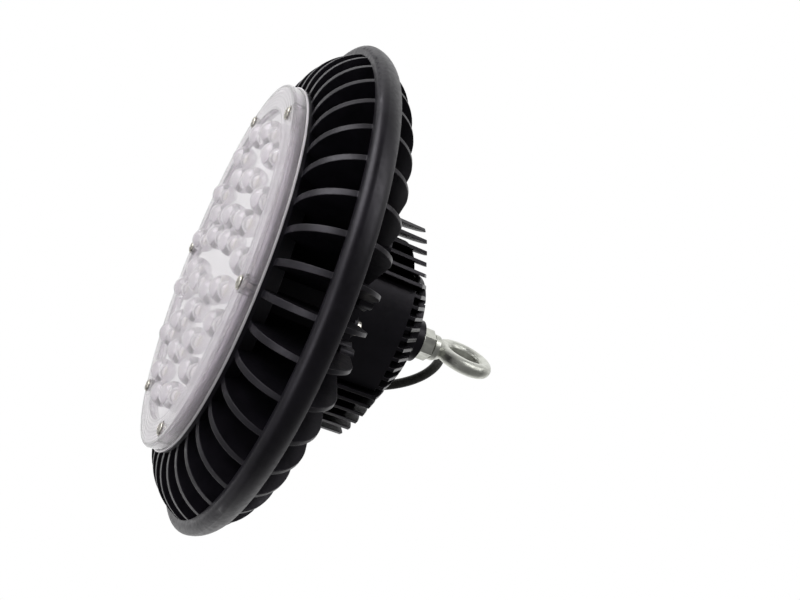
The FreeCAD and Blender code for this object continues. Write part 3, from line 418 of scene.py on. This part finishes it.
crowns = screw_crowns("lens_screw_crowns", NICKEL)
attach(crowns, "root")


# ---------------------------------------------------------------------------
# Lamps
# ---------------------------------------------------------------------------
MIDDLE = Vector((0.0, 0.0, 0.07))


def softbox(name, direction, width, height, power):
    """An area light one metre from the middle of the object, facing it."""
    data = bpy.data.lights.new(name, "AREA")
    data.shape = "RECTANGLE"
    data.size, data.size_y = width, height
    data.energy = power
    obj = bpy.data.objects.new(name, data)
    bpy.context.collection.objects.link(obj)
    way = direction.normalized()
    obj.location = MIDDLE + way
    obj.rotation_euler = (-way).to_track_quat("-Z", "Y").to_euler()


softbox("Key", UP * 1.0 - RIGHT * 0.55 + BACK * 0.45, 0.9, 0.6, 7.0)
softbox("Side", RIGHT * 1.0 + BACK * 0.3 + UP * 0.5, 0.4, 0.8, 3.0)
softbox("Front", BACK * 1.0 - RIGHT * 0.8 + UP * 0.1, 0.6, 0.6, 2.6)


# ---------------------------------------------------------------------------
# World: a room that is dark on the camera's side and light behind the object. The camera
# sees plain white, also through the lens, and metal shows white from the far side.
# ---------------------------------------------------------------------------
DARK_SIDE, NEAR_END = 0.14, -0.1


def studio_world():
    world = bpy.data.worlds.new("World")
    world.use_nodes = True
    background = world.node_tree.nodes["Background"]
    way = node(world, "ShaderNodeTexCoord")
    axes = node(world, "ShaderNodeSeparateXYZ")
    link(world, way, "Generated", axes, "Vector")
    room = spread(world, axes, "Y", NEAR_END, 0.7, DARK_SIDE, 0.8)
    mirrored = spread(world, axes, "Y", NEAR_END, 0.5, DARK_SIDE, 1.0)
    seen = node(world, "ShaderNodeLightPath")
    in_metal = math_node(world, "MULTIPLY", (seen, "Is Glossy Ray"), (mirrored, "Result"))
    strength = room, "Result"
    for white in ((seen, "Is Camera Ray"), (seen, "Is Transmission Ray"), (in_metal, "Value")):
        strength = math_node(world, "MAXIMUM", strength, white), "Value"
    link(world, *strength, background, "Color")
    return world


bpy.context.scene.world = studio_world()


# ---------------------------------------------------------------------------
# Floor: under the camera as well as under the object. It is as lit below the object, with
# its shadow, and fades to white away from it.
# ---------------------------------------------------------------------------
FLOOR_DEPTH, FLOOR_REACH = 0.9, 1.7


def floor_material():
    mat = plain("floor", (0.86, 0.86, 0.86), (0.9, 0.9, 0.9), 0.8, 6.0, 0.02, 0.0)
    place = node(mat, "ShaderNodeTexCoord")
    distance = node(mat, "ShaderNodeVectorMath", operation="LENGTH")
    link(mat, place, "Object", distance, 0)
    away = spread(mat, distance, "Value", FLOOR_DEPTH, FLOOR_REACH, kind="SMOOTHSTEP")
    seen = node(mat, "ShaderNodeLightPath")
    fading = math_node(mat, "MULTIPLY", (away, "Result"), (seen, "Is Camera Ray"))
    white = node(mat, "ShaderNodeEmission", Strength=1.0)
    mixed = node(mat, "ShaderNodeMixShader")
    link(mat, fading, "Value", mixed, 0)
    link(mat, mat.node_tree.nodes["Principled BSDF"], "BSDF", mixed, 1)
    link(mat, white, "Emission", mixed, 2)
    link(mat, mixed, "Shader", mat.node_tree.nodes["Material Output"], "Surface")
    return mat


floor_mesh = bpy.data.meshes.new("Floor")
floor_corners = [(x * FLOOR_REACH, y * FLOOR_REACH, -FLOOR_DEPTH)
                 for x, y in ((-1, -1), (1, -1), (1, 1), (-1, 1))]
floor_mesh.from_pydata(floor_corners, [], [(0, 1, 2, 3)])
floor = bpy.data.objects.new("Floor", floor_mesh)
bpy.context.collection.objects.link(floor)
floor_mesh.materials.append(floor_material())
